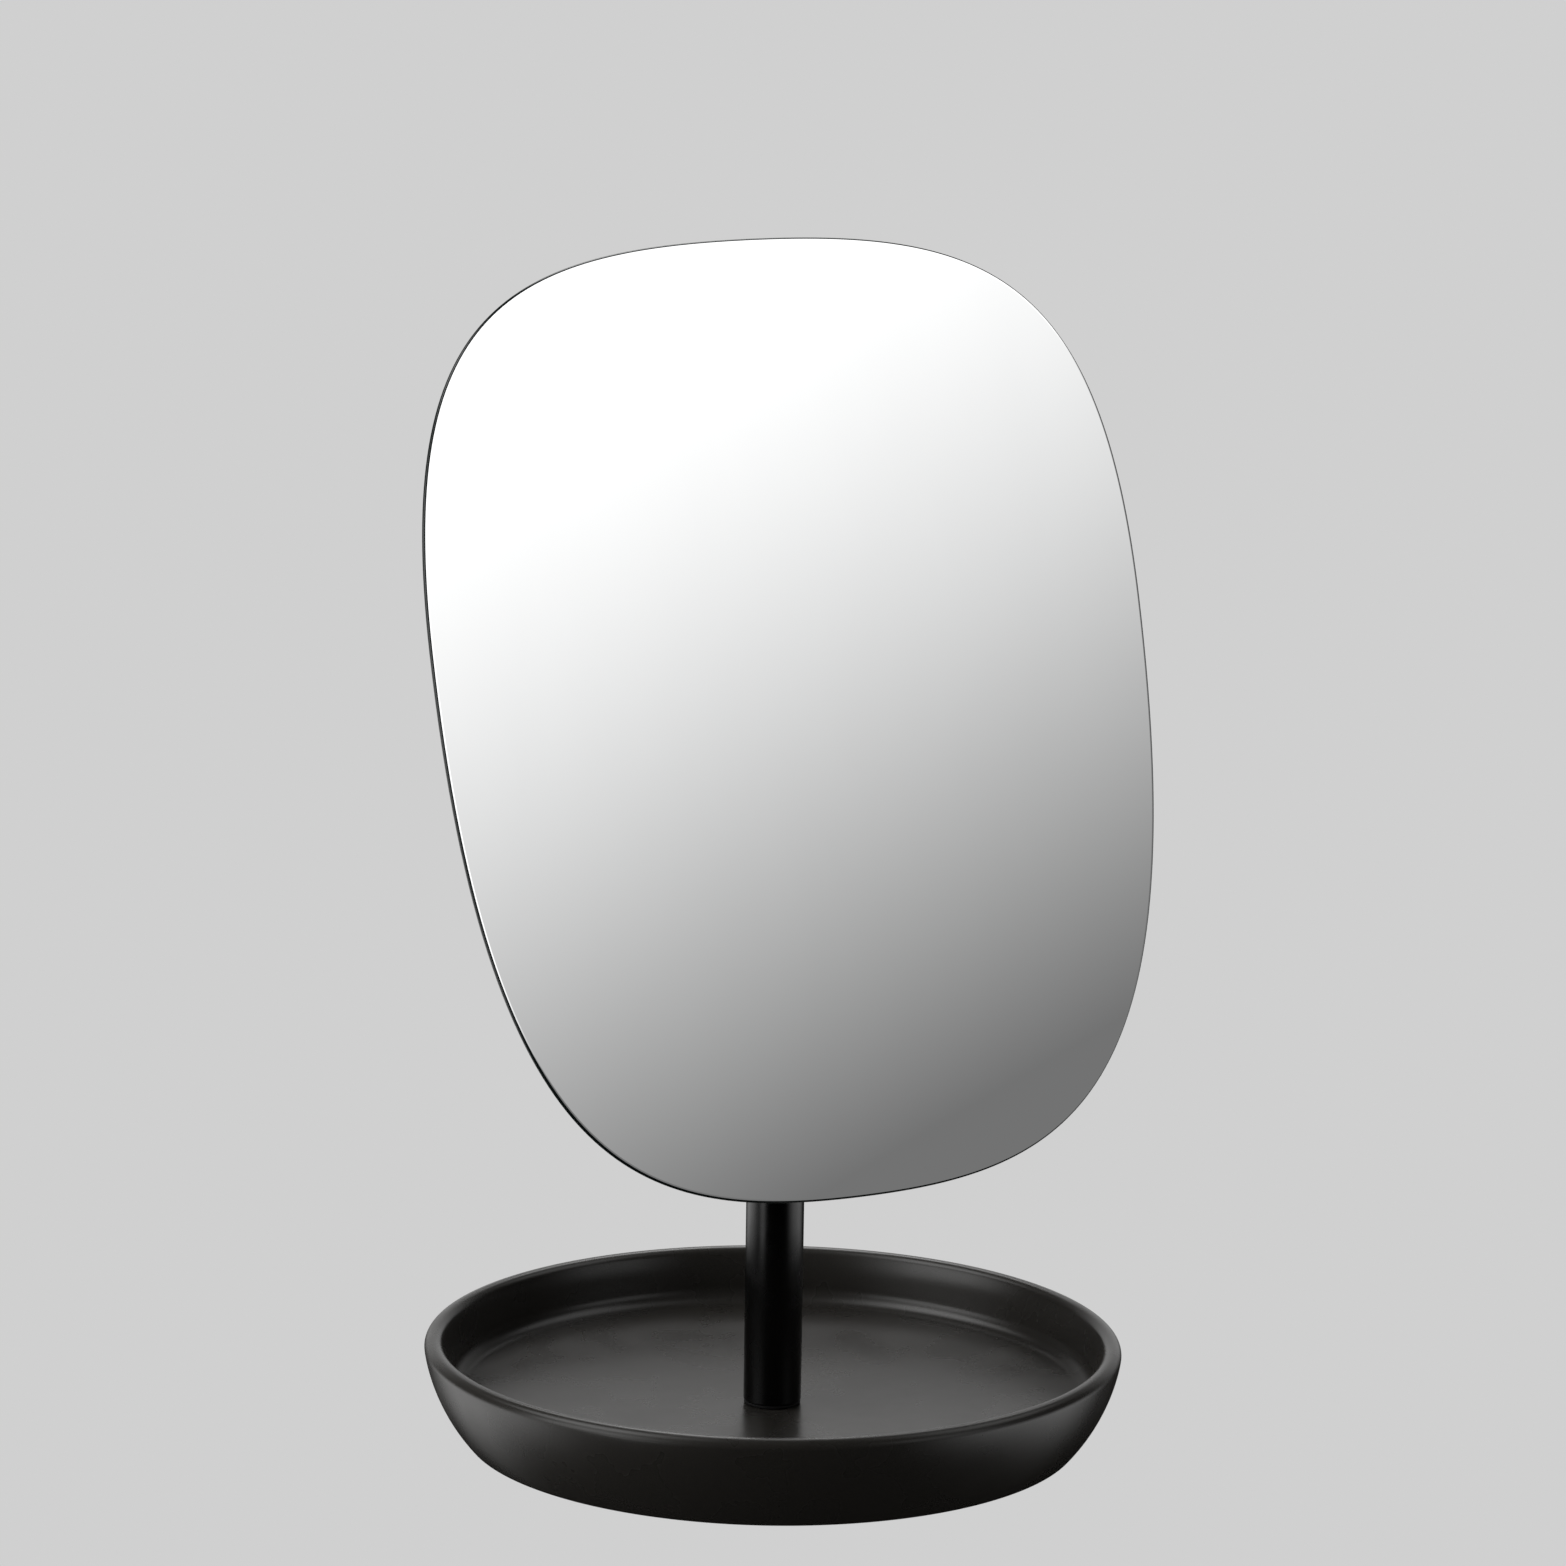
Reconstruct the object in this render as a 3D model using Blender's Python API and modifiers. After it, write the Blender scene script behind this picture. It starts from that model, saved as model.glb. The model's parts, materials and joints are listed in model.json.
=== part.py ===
"""Countertop mirror: a rounded mirror that swivels and tilts on a stem, which stands in a round dish.

Metres, +Z up. The origin is the centre of the underside, on the stem's axis, and the mirror faces -Y.
"""

import math

import bmesh
import bpy
from mathutils import Matrix

# Clearances
GAP = 0.0003  # left between two pieces that touch
CUT_OVERRUN = 0.002  # how far a cutter runs past the faces it cuts

# Dish and the pad under it
DISH_RADIUS = 0.1085
DISH_HEIGHT = 0.0309
DISH_FOOT_RADIUS = 0.0952
DISH_BOTTOM = 0.0008  # the pad stands this far proud of the dish's foot
DISH_RIM_ROUND = 0.0029  # radius of the rim's rounded top, half the wall
DISH_FLOOR_DEPTH = 0.0211  # from the rim's top down to the middle of the floor
DISH_FLOOR_RISE = 0.0032  # how far the slightly hollow floor rises to its edge
DISH_FILLET = 0.0065  # between the floor and the inner wall
DISH_FOOT_EASE = 0.0012
DISH_WALL_HANDLE = 0.001  # how far down the outer wall leaves the rim upright
DISH_FOOT_FLARE = (0.0115, 0.013)  # how far out and up the wall leaves the foot
DISH_WALL_DRAFT = 0.0003
DISH_HOLE_RADIUS = 0.0045
POCKET_RADIUS = 0.020  # the space for the screw's head, under the floor
POCKET_ROOF = 0.003  # thickness of the floor over it
PAD_RADIUS = 0.090
PAD_THICKNESS = 0.0015

# Stem
STEM_RADIUS = 0.009
STEM_WALL = 0.0015
STEM_LENGTH = 0.190
STEM_EDGE = 0.0003
GASKET_THICKNESS = 0.0008
FOOT_PLUG_LENGTH = 0.025
TOP_PLUG_LENGTH = 0.020
M6_RADIUS = 0.003
M6_HOLE_RADIUS = 0.0033
SET_SCREW_RADIUS = 0.002
SET_SCREW_LENGTH = 0.0042
SET_SCREW_DROP = 0.010  # below the stem's top
SET_SCREW_SOCKET = 0.001
SLEEVE_INSET = 0.0002  # the gasket and the glide stand this far inside the stem's surface

# Screw and washers under the dish
RUBBER_WASHER_THICKNESS = 0.0008
LOAD_WASHER_THICKNESS = 0.0012
LOAD_WASHER_RADIUS = 0.018
LOAD_WASHER_EASE = 0.0002
STEM_SCREW_LENGTH = 0.025
STEM_SCREW_HEAD = (0.0055, 0.0026, 0.002)  # radius, height, socket radius
THREAD_CHAMFER = 0.0004
PLUG_ROOF = 0.005  # solid metal over the foot plug's thread

# Swivel head on the stem
GLIDE_THICKNESS = 0.0008
HEAD_BARREL = 0.0104  # length of the round part, from its underside
HEAD_EDGE = 0.0008
HEAD_THREAD_DEPTH = 0.008
TONGUE_THICKNESS = 0.008
KNUCKLE_RADIUS = 0.007
TILT_HEIGHT = 0.2270  # height of the tilt axis
HEAD_WEB = 0.0012  # how far the tongue reaches down into the head
CAP_HEAD_RADIUS = 0.005
CAP_HEAD_LENGTH = 0.006
CAP_SOCKET_RADIUS = 0.0025
SCREW_END_SPACE = 0.0005
SWIVEL_WASHER_RADIUS = 0.0065
SWIVEL_WASHER_THICKNESS = 0.001
SWIVEL_SPRING_RADIUS = 0.0062
SWIVEL_SPRING_THICKNESS = 0.0006
SWIVEL_SPRING_CONE = 0.0004

# Tilt hinge, measured from the tilt axis: U to the right, V up the mirror, N out of its face
REST_TILT = math.radians(16)  # how far the mirror leans back at rest
M5_RADIUS = 0.0025
M5_HOLE_RADIUS = 0.0028
AXLE_HEAD = (0.00475, 0.0028, 0.0015)  # radius, height, socket radius
AXLE_OVERHANG = 0.001  # past the nut
TILT_SPRING_RADIUS = 0.005
TILT_SPRING_THICKNESS = 0.0005
TILT_SPRING_CONE = 0.0003
FRICTION_WASHER_RADIUS = 0.0065
FRICTION_WASHER_THICKNESS = 0.001
EAR_THICKNESS = 0.003
EAR_FOOT = 0.010  # half the ear's length where it meets the bracket's plate
EAR_ROOT = 0.001  # the ears stop this far short of the plate's front
EAR_SHOULDER = 0.0005  # the straight sides run this far out of the plate's rear
BRACKET_HALF_WIDTH = 0.027
BRACKET_HALF_HEIGHT = 0.018
BRACKET_THICKNESS = 0.0025
BRACKET_CORNER = 0.0025
NOTCH_HALF_WIDTH = 0.0096  # lets the bracket pass the swivel head
STUD_RADIUS = 0.002
STUD_HOLE_RADIUS = 0.0023
STUD_U = 0.021
STUD_V = 0.012
STUD_OVERHANG = 0.0006  # past the nut
NUT_M4_FLATS = 0.007
NUT_M4_THICKNESS = 0.0032
NUT_M5_FLATS = 0.008
NUT_M5_THICKNESS = 0.004

# Mirror plates
PLATE_BACK = 0.0119  # N of the back plate's rear face
PLATE_THICKNESS = 0.0012
TAPE_THICKNESS = 0.0004
TAPE_GAP = 0.0002
GLASS_THICKNESS = 0.002
PLATE_INSET = 0.0025  # the back plate stops this far inside the glass's edge
MIRROR_HALF_WIDTH = 0.1218
MIRROR_HALF_HEIGHT = 0.1466
MIRROR_WIDEST = 0.0279  # V of the widest level
HANDLE_TOP = 0.083
HANDLE_BOTTOM = 0.0724
HANDLE_UP = 0.102
HANDLE_DOWN = 0.1582
TAPE_WIDTH = 0.016
TAPE_STRIPS = ((-0.081, 0.150), (-0.027, 0.230), (0.027, 0.230), (0.081, 0.150))  # U, length

# Heights that follow
RIM_TOP = DISH_BOTTOM + DISH_HEIGHT
FLOOR = RIM_TOP - DISH_FLOOR_DEPTH
POCKET_TOP = FLOOR - POCKET_ROOF
STEM_BOTTOM = FLOOR + GAP + GASKET_THICKNESS + GAP
STEM_TOP = STEM_BOTTOM + STEM_LENGTH
STEM_BORE = STEM_RADIUS - STEM_WALL
PLUG_RADIUS = STEM_BORE - GAP
HEAD_BOTTOM = STEM_TOP + GAP + GLIDE_THICKNESS + GAP
HEAD_TOP = HEAD_BOTTOM + HEAD_BARREL
TOP_PLUG_TOP = STEM_TOP - GAP
TOP_PLUG_BOTTOM = TOP_PLUG_TOP - TOP_PLUG_LENGTH
SET_SCREW_HEIGHT = STEM_TOP - SET_SCREW_DROP
EAR_INNER = TONGUE_THICKNESS / 2 + GAP + FRICTION_WASHER_THICKNESS + GAP
EAR_OUTER = EAR_INNER + EAR_THICKNESS
BRACKET_FRONT = PLATE_BACK - GAP
BRACKET_BACK = BRACKET_FRONT - BRACKET_THICKNESS
TAPE_BACK = PLATE_BACK + PLATE_THICKNESS + TAPE_GAP
GLASS_BACK = TAPE_BACK + TAPE_THICKNESS + TAPE_GAP

ROUND_STEPS = 32  # facets round a small turned piece
STEM_STEPS = 48
DISH_STEPS = 64
FLOOR_STEPS = 7  # rings from the dish's middle to its fillet
OUTLINE_STEPS = 24  # points along each of the mirror outline's four curves
ALONG_U = (0, math.pi / 2, 0)  # turns a piece's Z onto the tilt axis
FACING_U = (math.pi / 2, 0, math.pi / 2)  # lays an outline's X, Y along V, N

for stale in list(bpy.data.objects):
    bpy.data.objects.remove(stale)

parts = bpy.data.collections.new("countertop_mirror")
bpy.context.scene.collection.children.link(parts)
cutters = bpy.data.collections.new("cutters")
bpy.context.scene.collection.children.link(cutters)


# Materials


def material(name, color, roughness, metallic=0.0):
    made = bpy.data.materials.new(name)
    made.use_nodes = True
    shader = made.node_tree.nodes["Principled BSDF"]
    shader.inputs["Base Color"].default_value = (*color, 1)
    shader.inputs["Roughness"].default_value = roughness
    shader.inputs["Metallic"].default_value = metallic
    return made


CERAMIC = material("satin_black_ceramic", (0.03, 0.03, 0.028), 0.5)
POWDER_COAT = material("black_powder_coat", (0.015, 0.015, 0.015), 0.45, 0.3)
SILVERED = material("silvered_glass", (0.9, 0.9, 0.9), 0.03, 1)
ZINC = material("zinc_plated_steel", (0.55, 0.56, 0.57), 0.4, 0.9)
BLACK_STEEL = material("blackened_steel", (0.08, 0.08, 0.085), 0.4, 0.9)
RUBBER = material("black_rubber", (0.02, 0.02, 0.02), 0.85)
NYLON = material("black_nylon", (0.05, 0.05, 0.05), 0.7)
TAPE = material("foam_tape", (0.75, 0.75, 0.73), 0.8)


# Shape helpers


def arc(cx, cy, radius, start, end, steps):
    """Points on a circle from one angle to another, in degrees, with both ends."""
    angles = [math.radians(start + (end - start) * i / steps) for i in range(steps + 1)]
    return [(cx + radius * math.cos(a), cy + radius * math.sin(a)) for a in angles]


def cubic(p0, p1, p2, p3, steps):
    """Points along a cubic curve, with both ends."""
    points = []
    for i in range(steps + 1):
        t = i / steps
        weights = ((1 - t) ** 3, 3 * t * (1 - t) ** 2, 3 * t * t * (1 - t), t**3)
        ends = (p0, p1, p2, p3)
        points.append(tuple(sum(w * p[k] for w, p in zip(weights, ends)) for k in (0, 1)))
    return points


def rounded(corners, radius, steps=4):
    """A polygon's points, with each square corner eased by an arc."""
    points = []
    count = len(corners)
    for i, corner in enumerate(corners):
        before = corners[i - 1]
        after = corners[(i + 1) % count]
        towards = []
        for other in (before, after):
            length = math.dist(other, corner)
            towards.append([(other[k] - corner[k]) / length * radius for k in (0, 1)])
        start = [corner[k] + towards[0][k] for k in (0, 1)]
        end = [corner[k] + towards[1][k] for k in (0, 1)]
        centre = [start[k] + towards[1][k] for k in (0, 1)]
        for j in range(steps + 1):
            a = math.pi / 2 * j / steps
            points.append(
                tuple(
                    centre[k]
                    - (centre[k] - start[k]) * math.cos(a)
                    - (centre[k] - end[k]) * math.sin(a)
                    for k in (0, 1)
                )
            )
    return points


def place(obj, parent=None, location=(0, 0, 0), rotation=(0, 0, 0)):
    obj.parent = parent
    obj.location = location
    obj.rotation_euler = rotation
    return obj


def turned(name, profile, finish, closed=False, steps=ROUND_STEPS):
    """A profile of (radius, height) points, which runs down its outer side, turned about Z."""
    mesh = bpy.data.meshes.new(name)
    edges = [(i, i + 1) for i in range(len(profile) - 1)]
    if closed:
        edges.append((len(profile) - 1, 0))
    mesh.from_pydata([(r, 0, z) for r, z in profile], edges, [])
    mesh.materials.append(finish)
    obj = bpy.data.objects.new(name, mesh)
    parts.objects.link(obj)
    screw = obj.modifiers.new("turn", "SCREW")
    screw.steps = steps
    screw.render_steps = steps
    screw.use_merge_vertices = True
    screw.merge_threshold = 1e-6
    screw.use_smooth_shade = True
    return obj


def ring(name, inner, outer, bottom, height, finish, ease=0.0, steps=ROUND_STEPS):
    """A washer, a sleeve or a tube, with its outer edges eased."""
    top = bottom + height
    profile = [
        (inner, top),
        (outer - ease, top),
        (outer, top - ease),
        (outer, bottom + ease),
        (outer - ease, bottom),
        (inner, bottom),
    ]
    if not ease:
        profile = [(inner, top), (outer, top), (outer, bottom), (inner, bottom)]
    return turned(name, profile, finish, closed=True, steps=steps)


def disc_spring(name, inner, outer, bottom, thickness, cone, finish):
    profile = [
        (inner, bottom + cone + thickness),
        (outer, bottom + thickness),
        (outer, bottom),
        (inner, bottom + cone),
    ]
    return turned(name, profile, finish, closed=True)


def flat(name, outlines, thickness, finish):
    """Closed outlines of (x, y) points filled between them, centred on Z = 0."""
    curve = bpy.data.curves.new(name, "CURVE")
    curve.dimensions = "2D"
    curve.fill_mode = "BOTH"
    curve.extrude = thickness / 2
    curve.materials.append(finish)
    for outline in outlines:
        spline = curve.splines.new("POLY")
        spline.points.add(len(outline) - 1)
        for point, (x, y) in zip(spline.points, outline):
            point.co = (x, y, 0, 1)
        spline.use_cyclic_u = True
    obj = bpy.data.objects.new(name, curve)
    parts.objects.link(obj)
    return obj


def mirror_plate(name, inset, thickness, finish):
    """The mirror's outline, drawn in by the inset: four anchors with their handles."""
    half_width = MIRROR_HALF_WIDTH - inset
    half_height = MIRROR_HALF_HEIGHT - inset
    anchors = (
        ((0, half_height), (-HANDLE_TOP, 0), (HANDLE_TOP, 0)),
        ((half_width, MIRROR_WIDEST), (0, HANDLE_UP), (0, -HANDLE_DOWN)),
        ((0, -half_height), (HANDLE_BOTTOM, 0), (-HANDLE_BOTTOM, 0)),
        ((-half_width, MIRROR_WIDEST), (0, -HANDLE_DOWN), (0, HANDLE_UP)),
    )
    obj = flat(name, (), thickness, finish)
    spline = obj.data.splines.new("BEZIER")
    spline.bezier_points.add(len(anchors) - 1)
    spline.use_cyclic_u = True
    spline.resolution_u = OUTLINE_STEPS
    for point, (co, before, after) in zip(spline.bezier_points, anchors):
        point.handle_left_type = "FREE"
        point.handle_right_type = "FREE"
        point.co = (*co, 0)
        point.handle_left = (co[0] + before[0], co[1] + before[1], 0)
        point.handle_right = (co[0] + after[0], co[1] + after[1], 0)
    return obj


def circle(x, y, radius, steps=24):
    return arc(x, y, radius, 0, 360 - 360 / steps, steps - 1)


def hexagon(across_flats):
    return circle(0, 0, across_flats / math.sqrt(3), 6)


def as_mesh(obj):
    """Makes a curve object a mesh with welded caps, so that it can be cut or joined."""
    bpy.context.view_layer.update()
    graph = bpy.context.evaluated_depsgraph_get()
    mesh = bpy.data.meshes.new_from_object(obj.evaluated_get(graph))
    work = bmesh.new()
    work.from_mesh(mesh)
    bmesh.ops.remove_doubles(work, verts=work.verts, dist=1e-6)
    work.to_mesh(mesh)
    work.free()
    name = obj.name
    obj.name = name + "_curve"
    solid = bpy.data.objects.new(name, mesh)
    parts.objects.link(solid)
    place(solid, obj.parent, obj.location, obj.rotation_euler)
    bpy.data.objects.remove(obj)
    return solid


def cylinder(name, radius, length, finish, steps=ROUND_STEPS):
    """A plain cylinder along Z, centred on the origin."""
    mesh = bpy.data.meshes.new(name)
    work = bmesh.new()
    bmesh.ops.create_cone(
        work, cap_ends=True, segments=steps, radius1=radius, radius2=radius, depth=length
    )
    work.to_mesh(mesh)
    work.free()
    mesh.materials.append(finish)
    mesh.shade_smooth()
    mesh.set_sharp_from_angle(angle=math.radians(40))
    obj = bpy.data.objects.new(name, mesh)
    parts.objects.link(obj)
    return obj


def box(name, size, finish):
    mesh = bpy.data.meshes.new(name)
    work = bmesh.new()
    bmesh.ops.create_cube(work, size=1, matrix=Matrix.Diagonal((*size, 1)))
    work.to_mesh(mesh)
    work.free()
    mesh.materials.append(finish)
    obj = bpy.data.objects.new(name, mesh)
    parts.objects.link(obj)
    return obj


def combine(obj, tool, operation):
    """Joins the tool to the object, or cuts it out, and makes the tool a hidden helper."""
    parts.objects.unlink(tool)
    cutters.objects.link(tool)
    tool.hide_render = True
    tool.display_type = "WIRE"
    boolean = obj.modifiers.new(tool.name, "BOOLEAN")
    boolean.operation = operation
    boolean.solver = "EXACT"
    boolean.object = tool


# Dish, with its pad and the screw under it


def dish_profile():
    """Down the outer wall, in under the foot and the pocket, then out over the floor to the rim."""
    rim_middle = DISH_RADIUS - DISH_RIM_ROUND
    rim_centre = RIM_TOP - DISH_RIM_ROUND
    flare_out, flare_up = DISH_FOOT_FLARE
    outer_wall = cubic(
        (DISH_RADIUS, rim_centre),
        (DISH_RADIUS, rim_centre - DISH_WALL_HANDLE),
        (DISH_FOOT_RADIUS + flare_out, DISH_BOTTOM + flare_up),
        (DISH_FOOT_RADIUS + DISH_FOOT_EASE / 2, DISH_BOTTOM + DISH_FOOT_EASE / 2),
        7,
    )
    pad_recess = PAD_THICKNESS + GAP
    fillet_radius = DISH_RADIUS - 2 * DISH_RIM_ROUND - DISH_WALL_DRAFT - DISH_FILLET
    edge_slope = math.atan(2 * DISH_FLOOR_RISE / fillet_radius)
    fillet_centre = FLOOR + DISH_FLOOR_RISE + DISH_FILLET * math.cos(edge_slope)
    floor_edge = fillet_radius + DISH_FILLET * math.sin(edge_slope)
    floor_rings = [floor_edge * i / FLOOR_STEPS for i in range(1, FLOOR_STEPS)]
    return [
        *arc(rim_middle, rim_centre, DISH_RIM_ROUND, 90, 22.5, 3),
        *outer_wall,
        (DISH_FOOT_RADIUS - DISH_FOOT_EASE, DISH_BOTTOM),
        (PAD_RADIUS + GAP, DISH_BOTTOM),
        (PAD_RADIUS + GAP, pad_recess),
        (POCKET_RADIUS, pad_recess),
        (POCKET_RADIUS, POCKET_TOP),
        (DISH_HOLE_RADIUS, POCKET_TOP),
        (DISH_HOLE_RADIUS, FLOOR),
        *[(r, FLOOR + DISH_FLOOR_RISE * (r / floor_edge) ** 2) for r in floor_rings],
        *arc(fillet_radius, fillet_centre, DISH_FILLET, -90 + math.degrees(edge_slope), 0, 6),
        *arc(rim_middle, rim_centre, DISH_RIM_ROUND, 180, 112.5, 3),
    ]


turned("dish", dish_profile(), CERAMIC, closed=True, steps=DISH_STEPS)
pad = cylinder("base_pad", PAD_RADIUS, PAD_THICKNESS, RUBBER, DISH_STEPS)
place(pad, location=(0, 0, PAD_THICKNESS / 2))

rubber_washer_bottom = POCKET_TOP - GAP - RUBBER_WASHER_THICKNESS
load_washer_bottom = rubber_washer_bottom - GAP - LOAD_WASHER_THICKNESS
ring(
    "rubber_washer",
    M6_HOLE_RADIUS,
    LOAD_WASHER_RADIUS,
    rubber_washer_bottom,
    RUBBER_WASHER_THICKNESS,
    RUBBER,
)
ring(
    "load_washer",
    M6_HOLE_RADIUS,
    LOAD_WASHER_RADIUS,
    load_washer_bottom,
    LOAD_WASHER_THICKNESS,
    ZINC,
    ease=LOAD_WASHER_EASE,
)


def button_screw(name, shank_radius, shank_length, head, finish):
    """A screw along Z with its head's underside at 0 and its shank above: a low domed head."""
    head_radius, head_height, socket = head
    profile = [
        (0, shank_length),
        (shank_radius - THREAD_CHAMFER, shank_length),
        (shank_radius, shank_length - THREAD_CHAMFER),
        (shank_radius, 0),
        (head_radius, 0),
        (head_radius, -head_height * 0.3),
        (head_radius * 0.88, -head_height * 0.7),
        (head_radius * 0.62, -head_height),
        (socket, -head_height),
        (socket, -head_height * 0.45),
        (0, -head_height * 0.45),
    ]
    return turned(name, profile, finish)


stem_screw_head = load_washer_bottom - GAP
stem_screw = button_screw("stem_screw", M6_RADIUS, STEM_SCREW_LENGTH, STEM_SCREW_HEAD, ZINC)
place(stem_screw, location=(0, 0, stem_screw_head))

# Stem, with the plugs in its two ends

ring(
    "stem_gasket",
    DISH_HOLE_RADIUS,
    STEM_RADIUS - SLEEVE_INSET,
    FLOOR + GAP,
    GASKET_THICKNESS,
    RUBBER,
)
stem = ring(
    "stem_tube",
    STEM_BORE,
    STEM_RADIUS,
    STEM_BOTTOM,
    STEM_LENGTH,
    POWDER_COAT,
    ease=STEM_EDGE,
    steps=STEM_STEPS,
)
foot_plug_bottom = STEM_BOTTOM + GAP
foot_plug_top = foot_plug_bottom + FOOT_PLUG_LENGTH
thread_top = foot_plug_top - PLUG_ROOF
turned(
    "stem_foot_plug",
    [
        (0, foot_plug_top),
        (PLUG_RADIUS, foot_plug_top),
        (PLUG_RADIUS, foot_plug_bottom),
        (M6_HOLE_RADIUS, foot_plug_bottom),
        (M6_HOLE_RADIUS, thread_top),
        (0, thread_top),
    ],
    ZINC,
)
top_plug = ring(
    "stem_top_plug", M6_HOLE_RADIUS, PLUG_RADIUS, TOP_PLUG_BOTTOM, TOP_PLUG_LENGTH, ZINC
)

# The set screw at the back of the stem holds the top plug in it.
set_screw_outer = STEM_RADIUS - GAP
set_screw_inner = set_screw_outer - SET_SCREW_LENGTH
set_screw = turned(
    "plug_set_screw",
    [
        (0, SET_SCREW_LENGTH),
        (SET_SCREW_RADIUS - 2 * THREAD_CHAMFER, SET_SCREW_LENGTH),
        (SET_SCREW_RADIUS, SET_SCREW_LENGTH - 2 * THREAD_CHAMFER),
        (SET_SCREW_RADIUS, 0),
        (SET_SCREW_SOCKET, 0),
        (SET_SCREW_SOCKET, SET_SCREW_LENGTH / 2),
        (0, SET_SCREW_LENGTH / 2),
    ],
    BLACK_STEEL,
)
place(set_screw, location=(0, set_screw_outer, SET_SCREW_HEIGHT), rotation=(math.pi / 2, 0, 0))
for target, start, end in (
    (stem, STEM_BORE - CUT_OVERRUN, STEM_RADIUS + CUT_OVERRUN),
    (top_plug, set_screw_inner - GAP, PLUG_RADIUS + CUT_OVERRUN),
):
    drill = cylinder(
        target.name + "_drill", SET_SCREW_RADIUS + GAP, end - start, target.data.materials[0]
    )
    place(
        drill,
        location=(0, (start + end) / 2, SET_SCREW_HEIGHT),
        rotation=(math.pi / 2, 0, 0),
    )
    combine(target, drill, "DIFFERENCE")

# Swivel: the head turns on the stem, drawn down by a screw from inside the tube

ring(
    "swivel_glide",
    M6_HOLE_RADIUS,
    STEM_RADIUS - SLEEVE_INSET,
    STEM_TOP + GAP,
    GLIDE_THICKNESS,
    NYLON,
)
thread_roof = HEAD_BOTTOM + HEAD_THREAD_DEPTH
swivel_head = turned(
    "swivel_head",
    [
        (0, HEAD_TOP),
        (STEM_RADIUS - HEAD_EDGE, HEAD_TOP),
        (STEM_RADIUS, HEAD_TOP - HEAD_EDGE),
        (STEM_RADIUS, HEAD_BOTTOM + STEM_EDGE),
        (STEM_RADIUS - STEM_EDGE, HEAD_BOTTOM),
        (M6_HOLE_RADIUS, HEAD_BOTTOM),
        (M6_HOLE_RADIUS, thread_roof),
        (0, thread_roof),
    ],
    POWDER_COAT,
)
tongue_foot = HEAD_TOP - HEAD_WEB - TILT_HEIGHT
tongue_outline = [
    (-KNUCKLE_RADIUS, tongue_foot),
    (KNUCKLE_RADIUS, tongue_foot),
    *arc(0, 0, KNUCKLE_RADIUS, 0, 180, 16),
]
tongue = flat(
    "tongue", (tongue_outline, circle(0, 0, M5_HOLE_RADIUS)), TONGUE_THICKNESS, POWDER_COAT
)
place(tongue, location=(0, 0, TILT_HEIGHT), rotation=FACING_U)
combine(swivel_head, as_mesh(tongue), "UNION")

swivel_washer_bottom = TOP_PLUG_BOTTOM - GAP - SWIVEL_WASHER_THICKNESS
swivel_spring_bottom = (
    swivel_washer_bottom - GAP - SWIVEL_SPRING_THICKNESS - SWIVEL_SPRING_CONE
)
swivel_screw_head = swivel_spring_bottom - GAP
ring(
    "swivel_washer",
    M6_HOLE_RADIUS,
    SWIVEL_WASHER_RADIUS,
    swivel_washer_bottom,
    SWIVEL_WASHER_THICKNESS,
    NYLON,
)
disc_spring(
    "swivel_spring",
    M6_HOLE_RADIUS,
    SWIVEL_SPRING_RADIUS,
    swivel_spring_bottom,
    SWIVEL_SPRING_THICKNESS,
    SWIVEL_SPRING_CONE,
    BLACK_STEEL,
)
swivel_screw_end = thread_roof - SCREW_END_SPACE
turned(
    "swivel_screw",
    [
        (0, swivel_screw_end),
        (M6_RADIUS, swivel_screw_end),
        (M6_RADIUS, swivel_screw_head),
        (CAP_HEAD_RADIUS, swivel_screw_head),
        (CAP_HEAD_RADIUS, swivel_screw_head - CAP_HEAD_LENGTH),
        (CAP_SOCKET_RADIUS, swivel_screw_head - CAP_HEAD_LENGTH),
        (CAP_SOCKET_RADIUS, swivel_screw_head - CAP_HEAD_LENGTH / 2),
        (0, swivel_screw_head - CAP_HEAD_LENGTH / 2),
    ],
    ZINC,
)

# Tilt hinge: everything below rides on the tilt axis, leaning back with the mirror

tilt_pivot = bpy.data.objects.new("tilt_pivot", None)
parts.objects.link(tilt_pivot)
place(tilt_pivot, location=(0, 0, TILT_HEIGHT), rotation=(math.pi / 2 - REST_TILT, 0, 0))

for side, name in ((-1, "friction_washer_left"), (1, "friction_washer_right")):
    washer = ring(
        name,
        M5_HOLE_RADIUS,
        FRICTION_WASHER_RADIUS,
        -FRICTION_WASHER_THICKNESS / 2,
        FRICTION_WASHER_THICKNESS,
        NYLON,
    )
    middle = TONGUE_THICKNESS / 2 + GAP + FRICTION_WASHER_THICKNESS / 2
    place(washer, tilt_pivot, (side * middle, 0, 0), ALONG_U)

tilt_spring_start = EAR_OUTER + GAP
tilt_nut_start = tilt_spring_start + TILT_SPRING_THICKNESS + TILT_SPRING_CONE + GAP
tilt_nut_end = tilt_nut_start + NUT_M5_THICKNESS
tilt_spring = disc_spring(
    "tilt_spring",
    M5_HOLE_RADIUS,
    TILT_SPRING_RADIUS,
    0,
    TILT_SPRING_THICKNESS,
    TILT_SPRING_CONE,
    BLACK_STEEL,
)
place(tilt_spring, tilt_pivot, (tilt_spring_start, 0, 0), ALONG_U)
tilt_nut = flat(
    "tilt_nut",
    (hexagon(NUT_M5_FLATS), circle(0, 0, M5_HOLE_RADIUS)),
    NUT_M5_THICKNESS,
    BLACK_STEEL,
)
place(tilt_nut, tilt_pivot, ((tilt_nut_start + tilt_nut_end) / 2, 0, 0), ALONG_U)
axle_head = EAR_OUTER + GAP
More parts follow.
